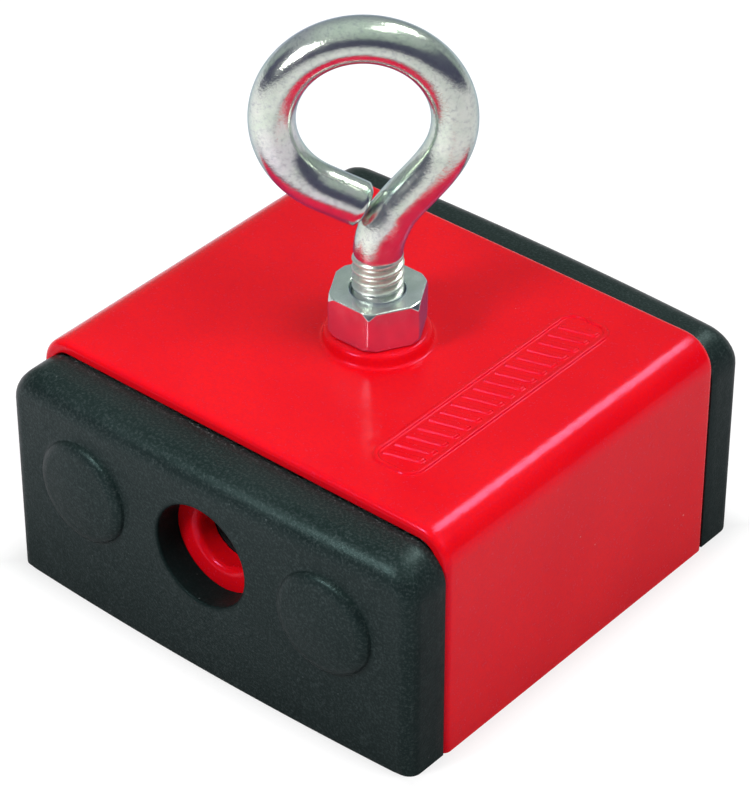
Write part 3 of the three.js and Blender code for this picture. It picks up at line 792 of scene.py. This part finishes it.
def dome_profile():
    """(radius, rise) from the face in to the dome's middle: crease, rounded edge, then a low cap."""
    flat = CAP_DOME_RADIUS - DOME_EDGE
    profile = [(CAP_DOME_RADIUS + out, rise) for out, rise in DOME_CREASE]
    for k in range(2, DOME_EDGE_STEPS):
        angle = 0.5 * math.pi * (1 - k / DOME_EDGE_STEPS)
        profile.append((flat + DOME_EDGE * math.sin(angle), DOME_EDGE_HEIGHT * math.cos(angle) ** 0.9))
    for k in range(DOME_STEPS):
        radius = flat * (1 - k / DOME_STEPS)
        share = 1 - (radius / flat) ** 2
        profile.append((radius, DOME_EDGE_HEIGHT + (CAP_DOME_HEIGHT - DOME_EDGE_HEIGHT) * share))
    return profile


def hole_profile():
    """(radius, rise) from the face over the rounded rim and down the wall past the plate's face."""
    r = CAP_HOLE_RADIUS
    depth = CAP_CORNER_DEPTH + CAP_CROWN - PLATE_FACE + 1
    return [tuple(p) for p in fillet([(r + 0.9, 0), (r, 0), (r, -depth)], CAP_HOLE_RIM, 5)]


def cap_outline(surface, grid, x_lines, z_lines):
    """Rings from the edge of the face over the rounded edges and back along the sides."""
    columns, rows = len(x_lines) - 1, len(z_lines) - 1
    loop = window_loop(grid, 0, columns, 0, rows)
    places = [[(i, j) for i in range(columns + 1)] for j in range(rows + 1)]
    border = window_loop(places, 0, columns, 0, rows)
    outward = []
    for (i, j), k in zip(border, loop):
        x, _, z = surface.points[k]
        dx = math.copysign(CAP_SIDE_EDGE, x) if i in (0, columns) else 0.0
        dz = CAP_TOP_EDGE if j == rows else (-CAP_LOW_EDGE if j == 0 else 0.0)
        p, q = corner_shares(x, z)
        if p > 0 and q > 0:
            size = math.hypot(p, q)
            dx, dz = math.copysign(CAP_SIDE_EDGE * p / size, x), CAP_TOP_EDGE * q / size
        outward.append((dx, dz))
    loops = [loop]
    faces = [surface.points[k] for k in loop]
    for k in range(1, CAP_EDGE_STEPS + 1):
        angle = 0.5 * math.pi * k / CAP_EDGE_STEPS
        ring = []
        for (x, _, z), (dx, dz) in zip(faces, outward):
            back = min(math.hypot(dx, dz), CAP_TOP_EDGE) * (1 - math.cos(angle))
            ring.append((x + dx * math.sin(angle), cap_face(x) - back, z + dz * math.sin(angle)))
        loops.append(surface.add(ring))
    rim = [surface.points[k] for k in loops[-1]]
    for share in (0.35, 0.7):
        ring = [(x, y + (CAP_BACK + 0.4 - y) * share, z) for x, y, z in rim]
        loops.append(surface.add(ring))
    for inset, past in CAP_BACK_RIM:
        ring = []
        for (x, _, z), (dx, dz) in zip(rim, outward):
            size = max(math.hypot(dx, dz), 1e-6)
            low = 0.0 if z < 1e-6 else inset * dz / size
            ring.append((x - inset * dx / size, CAP_BACK - past, z - low))
        loops.append(surface.add(ring))
    surface.rings(loops)
    surface.faces.append(tuple(loops[-1]))


def end_cap(name, front):
    """A rubber cap with its crowned face, two domes and hole, hollow behind for the pole plate."""
    surface = Surface()
    x_lines, z_lines = cap_lines()
    grid = []
    for z_line in z_lines:
        row = [cap_corner(x_line, z_line) for x_line in x_lines]
        grid.append(surface.add([(x, cap_face(x), z) for x, z in row]))
    windows = []
    for centre in (-TIE_X, 0.0, TIE_X):
        windows.append((nearest(x_lines, centre - CAP_WINDOW), nearest(x_lines, centre + CAP_WINDOW),
                        nearest(z_lines, TIE_Z - CAP_WINDOW), nearest(z_lines, TIE_Z + CAP_WINDOW)))
        loop = window_loop(grid, *windows[-1])
        if centre:
            cap_window(surface, loop, centre, dome_profile(), CAP_DOME_HEIGHT)
        else:
            profile = hole_profile()
            cap_window(surface, loop, centre, profile, profile[-1][1])
    surface.quads(grid, windows)
    cap_outline(surface, grid, x_lines, z_lines)
    obj = surface.made(name)
    carve(obj, cap_cutters())
    if front:
        turned_round(obj)
    node = "front_end_cap" if front else "rear_end_cap"
    return finish_piece(obj, RUBBER, BLOCK, node, crease=40)


def cap_cutters():
    """Pocket for the pole plate, and one for the end of each tie bolt."""
    surface = Surface()
    loops = []
    for y in (CAP_BACK - 1, PLATE_FACE + 0.1):
        loop = arched_loop(PLATE_HIGH[0] + POCKET_GAP, -1, PLATE_HIGH[2] + POCKET_GAP, POCKET_CORNER)
        loops.append(surface.add([(x, y, z) for x, z in loop]))
    surface.tube(loops)
    pocket = surface.made("pocket")
    depth = PLATE_FACE + WELL_DEPTH
    wells = [cylinder_cutter("well", WELL_RADIUS, CAP_BACK, depth, s * TIE_X, TIE_Z) for s in (-1, 1)]
    return [pocket] + wells


# ------------ magnet stack

TIE_HOLE_RADIUS = 2.7
LIP = 1.0  # radius of the rounded lip at a plate's hole
LIP_STEPS = 8
PLATE_CORNER = 2.2
BAR_CORNER = 3.0


def lipped_cutter(name):
    """Through hole of a pole plate, flared over a rounded lip at the outer face."""
    profile = [(0, PLATE_FACE + 1), (CROSS_HOLE_RADIUS + LIP, PLATE_FACE + 1)]
    for k in range(LIP_STEPS + 1):
        angle = 0.5 * math.pi * k / LIP_STEPS
        radius = CROSS_HOLE_RADIUS + LIP * (1 - math.sin(angle))
        profile.append((radius, PLATE_FACE - LIP * (1 - math.cos(angle))))
    profile += [(CROSS_HOLE_RADIUS, PLATE_LOW[1] - 1), (0, PLATE_LOW[1] - 1)]
    surface = Surface()
    lathe(surface, profile, 96, along_y(0.0, CROSS_HOLE_Z))
    return surface.made(name)


def pole_plate(name, front):
    obj = soft_prism(name, 0.0, PLATE_HIGH[0], 0.0, PLATE_HIGH[2], PLATE_LOW[1], PLATE_HIGH[1],
                     PLATE_CORNER)
    carve(obj, [lipped_cutter("lip")])
    if front:
        turned_round(obj)
    node = "front_pole_plate" if front else "rear_pole_plate"
    return finish_piece(obj, RED, BLOCK, node, crease=40)


def stack_block(node, material, top_radius=0.4, holes=(), edge=0.2):
    """A block of the stack, from its CAD box, with soft edges and its holes along Y."""
    low, high = node_box(node)
    middle = (low[0] + high[0]) / 2
    half = (high[0] - low[0]) / 2
    obj = soft_prism(node + "_fine", middle, half, low[2], high[2], low[1], high[1], top_radius, edge)
    cutters = [cylinder_cutter("hole", r, low[1] - 1, high[1] + 1, x, z) for x, z, r in holes]
    if cutters:
        carve(obj, cutters)
    return finish_piece(obj, material, BLOCK, node, crease=40)


def magnet_stack():
    cross = (0.0, CROSS_HOLE_Z, CROSS_HOLE_RADIUS)
    for end in ("front", "rear"):
        pole_plate(end + "_plate_fine", end == "front")
        stack_block(end + "_magnet_spacer", PLASTIC, holes=[cross])
        for side, x in (("left", -TIE_X), ("right", TIE_X)):
            for layer in ("inner", "outer"):
                node = "_".join((end, side, layer, "magnet"))
                stack_block(node, FERRITE, holes=[(x, TIE_Z, TIE_HOLE_RADIUS)], edge=0.3)
    holes = [cross, (-TIE_X, TIE_Z, TIE_HOLE_RADIUS), (TIE_X, TIE_Z, TIE_HOLE_RADIUS)]
    stack_block("centre_pole_bar", STEEL, top_radius=BAR_CORNER, holes=holes)


# ------------ eyebolt

PITCH = 25.4 / 20
THREAD_MAJOR = 3.15
THREAD_MINOR = 2.47
NECK_Z = 44.0
ROD_RADIUS = 2.8
NECK_FLARE = 0.2  # extra radius where the bend leaves the thread
FLARE_END = (25.0, 28.5)  # the flare dies out between these lengths of bar
NECK_LEAN = (0.2, 6.0)  # handle of the curve into the eye, at the neck
EYE_LEAN = 5.3  # and its length at the eye
SHANK_LENGTH = 30  # further along the bar than this, there is no thread at any height
SHANK_PLAIN = 32.0  # no thread is drawn below this height, inside the collar
EYE_RADIUS = 10.6
EYE_CENTRE_U = -1.7
EYE_CENTRE_Z = BOLT_HIGH[2] - EYE_RADIUS - ROD_RADIUS
EYE_START = math.radians(-28)
EYE_END = math.radians(243)
EYE_TAIL = 5.55
EYE_TURN = math.radians(40.3)
BAR_SIDES = 64
BAR_END = ((0.0, 0.12, 0.3, 0.6), (0.55, 0.25, 0.08, 0.0))  # distances from the tail's end, depths
THREAD_FADE = (-0.9, 0.5)  # the thread runs out between these heights round THREAD_TOP
LEAD = (0.8, 0.6)  # height and depth of the taper at the shank's lower end
FLANK = (0.20, 0.62)  # shares of half a pitch: flat root, and rising flank
ROUNDING = 0.35


def eye_point(angle):
    return np.array([EYE_CENTRE_U + EYE_RADIUS * math.cos(angle),
                     EYE_CENTRE_Z + EYE_RADIUS * math.sin(angle)])


def bolt_path():
    """(u, z) points up the middle of the shank, over the neck, round the eye and down the tail."""
    bottom = BOLT_LOW[2]
    neck = np.array([0.0, NECK_Z])
    start, end = eye_point(EYE_START), eye_point(EYE_END)
    into = np.array([-math.sin(EYE_START), math.cos(EYE_START)])
    out = np.array([-math.sin(EYE_END), math.cos(EYE_END)])
    handles = (neck, neck + NECK_LEAN, start - EYE_LEAN * into, start)
    path = [np.array([0.0, z]) for z in np.arange(bottom, SHANK_PLAIN, 1.0)]
    path += [np.array([0.0, z]) for z in np.arange(SHANK_PLAIN, neck[1], PITCH / 16)]
    for t in np.linspace(0, 1, 100):
        a, b, c, d = handles
        s = 1 - t
        path.append(s ** 3 * a + 3 * s * s * t * b + 3 * s * t * t * c + t ** 3 * d)
    path += [eye_point(a) for a in np.linspace(EYE_START, EYE_END, 150)[1:]]
    path += [end + out * step for step in np.linspace(0, EYE_TAIL, 14)[1:]]
    return np.array(path)


def thread_radius(z, angle):
    """Radius of the right-hand thread at a height and an angle round the shank."""
    phase = (z / PITCH - angle / (2 * math.pi)) % 1.0
    crest = 1 - 2 * abs(phase - 0.5)
    height = float(np.clip((crest - FLANK[0]) / FLANK[1], 0, 1))
    height = height * height * (3 - 2 * height) * ROUNDING + height * (1 - ROUNDING)
    return THREAD_MINOR + (THREAD_MAJOR - THREAD_MINOR) * height


def eyebolt():
    """The bar swept along its path: thread, neck, eye and chamfered tail, in one mesh."""
    surface = Surface()
    path = bolt_path()
    tangents = np.gradient(path, axis=0)
    tangents /= np.linalg.norm(tangents, axis=1)[:, None]
    cos_turn, sin_turn = math.cos(EYE_TURN), math.sin(EYE_TURN)
    fade_from, fade_to = (THREAD_TOP + step for step in THREAD_FADE)
    lead_height, lead_depth = LEAD
    length = np.concatenate([[0], np.cumsum(np.linalg.norm(np.diff(path, axis=0), axis=1))])
    loops = []
    for (u, z), (tu, tz), here in zip(path, tangents, length):
        trim = np.interp(length[-1] - here, *BAR_END)
        fade = smoothstep(z, fade_from, fade_to) if here < SHANK_LENGTH else 1.0
        lead = smoothstep(z, BOLT_LOW[2], BOLT_LOW[2] + lead_height)
        flare = NECK_FLARE * (1 - smoothstep(here, *FLARE_END))
        ring = []
        for k in range(BAR_SIDES):
            a = 2 * math.pi * k / BAR_SIDES
            if fade < 1:
                cut = thread_radius(z, a) if z > SHANK_PLAIN else THREAD_MAJOR
                radius = (1 - fade) * cut + fade * (ROD_RADIUS + flare)
                radius -= lead_depth * (1 - lead)
            else:
                radius = ROD_RADIUS + flare - trim
            across = u + radius * math.cos(a) * tz
            deep = radius * math.sin(a)
            high = z - radius * math.cos(a) * tu
            ring.append((across * cos_turn - deep * sin_turn, across * sin_turn + deep * cos_turn, high))
        loops.append(surface.add(ring))
    surface.rings(loops)
    for loop in (loops[0], loops[-1]):
        surface.fan(loop, np.mean([surface.points[k] for k in loop], axis=0))
    obj = surface.made("eyebolt_fine")
    return finish_piece(obj, ZINC, EYEBOLT, "eyebolt", crease=60)


# ------------ jam nut

NUT_SIDES = 288
NUT_CORNER = (0.996, 90)  # share of the sharp corner's radius that is left, and how tight the curve is
NUT_CHAMFER = (0.35, 1.8)  # how far past the flats the chamfer starts, and its slope
NUT_LEAST = 0.12  # the edges are broken at least this much all the way round
NUT_MOUTH = 3.55
NUT_BORE = 3.22
NUT_MOUTH_DEPTH = 0.4


def hexagon_radius(angle, apothem):
    """Distance to the side of a hexagon with corners on X, its corners slightly rounded."""
    turn = math.radians((math.degrees(angle) % 60) - 30)
    plain = apothem / math.cos(turn)
    share, power = NUT_CORNER
    limit = apothem / math.cos(math.radians(30)) * share
    return (plain ** -power + limit ** -power) ** (-1 / power)


def jam_nut():
    surface = Surface()
    low, high = NUT_LOW[2], NUT_HIGH[2]
    apothem = (NUT_HIGH[1] - NUT_LOW[1]) / 2
    flat = apothem + NUT_CHAMFER[0]
    middle = (low + high) / 2
    rows = []
    for k in range(NUT_SIDES):
        angle = 2 * math.pi * k / NUT_SIDES
        radius = hexagon_radius(angle, apothem)
        shelf = min(flat, radius - NUT_LEAST)
        drop = max((radius - flat) * NUT_CHAMFER[1], NUT_LEAST)
        line = [(NUT_BORE, middle), (NUT_BORE, low + NUT_MOUTH_DEPTH), (NUT_MOUTH, low), (shelf, low),
                (radius, low + drop), (radius, high - drop), (shelf, high), (NUT_MOUTH, high),
                (NUT_BORE, high - NUT_MOUTH_DEPTH), (NUT_BORE, middle + 0.1)]
        rows.append([(r * math.cos(angle), r * math.sin(angle), z) for r, z in fillet(line, 0.2, 4)])
    loops = [surface.add([row[i] for row in rows]) for i in range(len(rows[0]))]
    surface.rings(loops + [loops[0]])
    obj = surface.made("jam_nut_fine")
    return finish_piece(obj, SATIN, JAM_NUT, "jam_nut", crease=50)


# ------------ stage

CAMERA_AZIMUTH = 40.265
CAMERA_ELEVATION = 36.305
CAMERA_DISTANCE = 0.4454
CAMERA_AIM = Vector((0.0, -0.00056, 0.0225))
CAMERA_LENS = 164.56
CAMERA_SENSOR = 36.0
FLOOR_HALF = 3.0
FLAG_DISTANCE = 0.7
FLAG_REACH = 105  # degrees to either side of the camera
FLAG_PANELS = 24
FLAG_HEIGHT = 0.47
ROOM_COLOUR = (0.36, 0.41, 0.38, 1)
CEILING = (0.6, 0.95, 0.92, 1.5)  # the room brightens between these heights of the sky, by this much
FLOOR_MARGIN = 1.6  # the floor is open under the block, this far in from its edges
FLOOR_DROP = 0.00002  # keeps the floor clear of the working face
LIGHT_AIM = Vector((0, 0, 0.03))
WARM = (1.0, 0.97, 0.99)


def aimed(name, data, place, direction):
    """A camera or lamp at a place, looking along a direction."""
    obj = new_object(name, data)
    obj.location = place
    obj.rotation_mode = "QUATERNION"
    obj.rotation_quaternion = direction.to_track_quat("-Z", "Y")
    return obj


def camera():
    azimuth, elevation = math.radians(CAMERA_AZIMUTH), math.radians(CAMERA_ELEVATION)
    back = Vector((math.sin(azimuth) * math.cos(elevation),
                   -math.cos(azimuth) * math.cos(elevation), math.sin(elevation)))
    data = bpy.data.cameras.new("camera")
    data.lens = CAMERA_LENS
    data.sensor_width = CAMERA_SENSOR
    data.clip_end = 20.0
    place = CAMERA_AIM + back * CAMERA_DISTANCE
    bpy.context.scene.camera = aimed("camera", data, place, -back)


def floor():
    """Flat floor with an opening under the block, so that the working face shows from below."""
    inner_x = (COVER_HALF_WIDTH - FLOOR_MARGIN) * MM
    inner_y = (CAP_CORNER_DEPTH - FLOOR_MARGIN) * MM
    ring = [(-1, -1), (1, -1), (1, 1), (-1, 1)]
    points = [(x * inner_x, y * inner_y, 0) for x, y in ring]
    points += [(x * FLOOR_HALF, y * FLOOR_HALF, 0) for x, y in ring]
    faces = [(i, 4 + i, 4 + (i + 1) % 4, (i + 1) % 4) for i in range(4)]
    mesh = bpy.data.meshes.new("floor")
    mesh.from_pydata(points, [], faces)
    mesh.materials.append(floor_white())
    obj = new_object("floor", mesh)
    obj.location.z = -FLOOR_DROP


def soft_light(name, place, size, radiance, colour):
    """Rectangular soft box facing the block; its power follows from its size and radiance."""
    data = bpy.data.lights.new(name, "AREA")
    data.shape = "RECTANGLE"
    data.size, data.size_y = size
    data.energy = radiance * math.pi * size[0] * size[1]
    data.color = colour
    obj = aimed(name, data, place, LIGHT_AIM - Vector(place))
    obj.visible_camera = False
    return obj


def flag():
    """Curved black screen round the camera's side, from the floor up to just over the camera."""
    middle = math.radians(CAMERA_AZIMUTH - 90)
    points, faces = [], []
    for k in range(FLAG_PANELS + 1):
        angle = middle + math.radians(FLAG_REACH) * (2 * k / FLAG_PANELS - 1)
        foot = (FLAG_DISTANCE * math.cos(angle), FLAG_DISTANCE * math.sin(angle))
        points += [(*foot, 0), (*foot, FLAG_HEIGHT)]
        if k:
            faces.append((2 * k - 2, 2 * k, 2 * k + 1, 2 * k - 1))
    mesh = bpy.data.meshes.new("flag")
    mesh.from_pydata(points, [], faces)
    mesh.materials.append(flag_black())
    obj = new_object("flag", mesh)
    obj.visible_camera = False


def room():
    """Pale room light, brighter overhead; where the camera sees past the floor it is white."""
    n = Nodes("room", bpy.data.worlds, "Background")
    height = n.axis(n.coordinates["Generated"], "Z")
    n.finish(Color=ROOM_COLOUR, Strength=n.span(height, *CEILING))
    white = n.node("ShaderNodeBackground", {"Color": (1, 1, 1, 1)})
    n.either(n.node("ShaderNodeLightPath").outputs["Is Camera Ray"], white)
    bpy.context.scene.world = n.owner


def studio():
    room()
    flag()
    overhead = soft_light("overhead", (0.58, 0.12, 0.51), (0.6, 0.55), 6.1, WARM)
    overhead.visible_glossy = False  # it lights the top without a streak of its own
    soft_light("top_lamp", (0.18, 0.12, 0.8), (0.18, 0.15), 7.0, WARM)
    soft_light("near_lamp", (-0.03, -0.15, 0.14), (0.045, 0.045), 34.0, (1.0, 0.96, 0.99))
    strip = soft_light("back_strip", (0.068, 0.55, 0.735), (0.27, 0.24), 16.0, (1.0, 0.97, 0.97))
    strip.visible_diffuse = False  # only its streak along the bend is wanted
    bpy.context.scene.view_settings.view_transform = "Standard"


cover()
end_cap("front_cap_rubber", True)
end_cap("rear_cap_rubber", False)
magnet_stack()
eyebolt()
jam_nut()
for bolt_node in ("left_tie_bolt", "right_tie_bolt", "left_tie_nut", "right_tie_nut"):
    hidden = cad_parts[bolt_node]
    hidden.data.materials.clear()
    hidden.data.materials.append(SATIN)

camera()
floor()
studio()
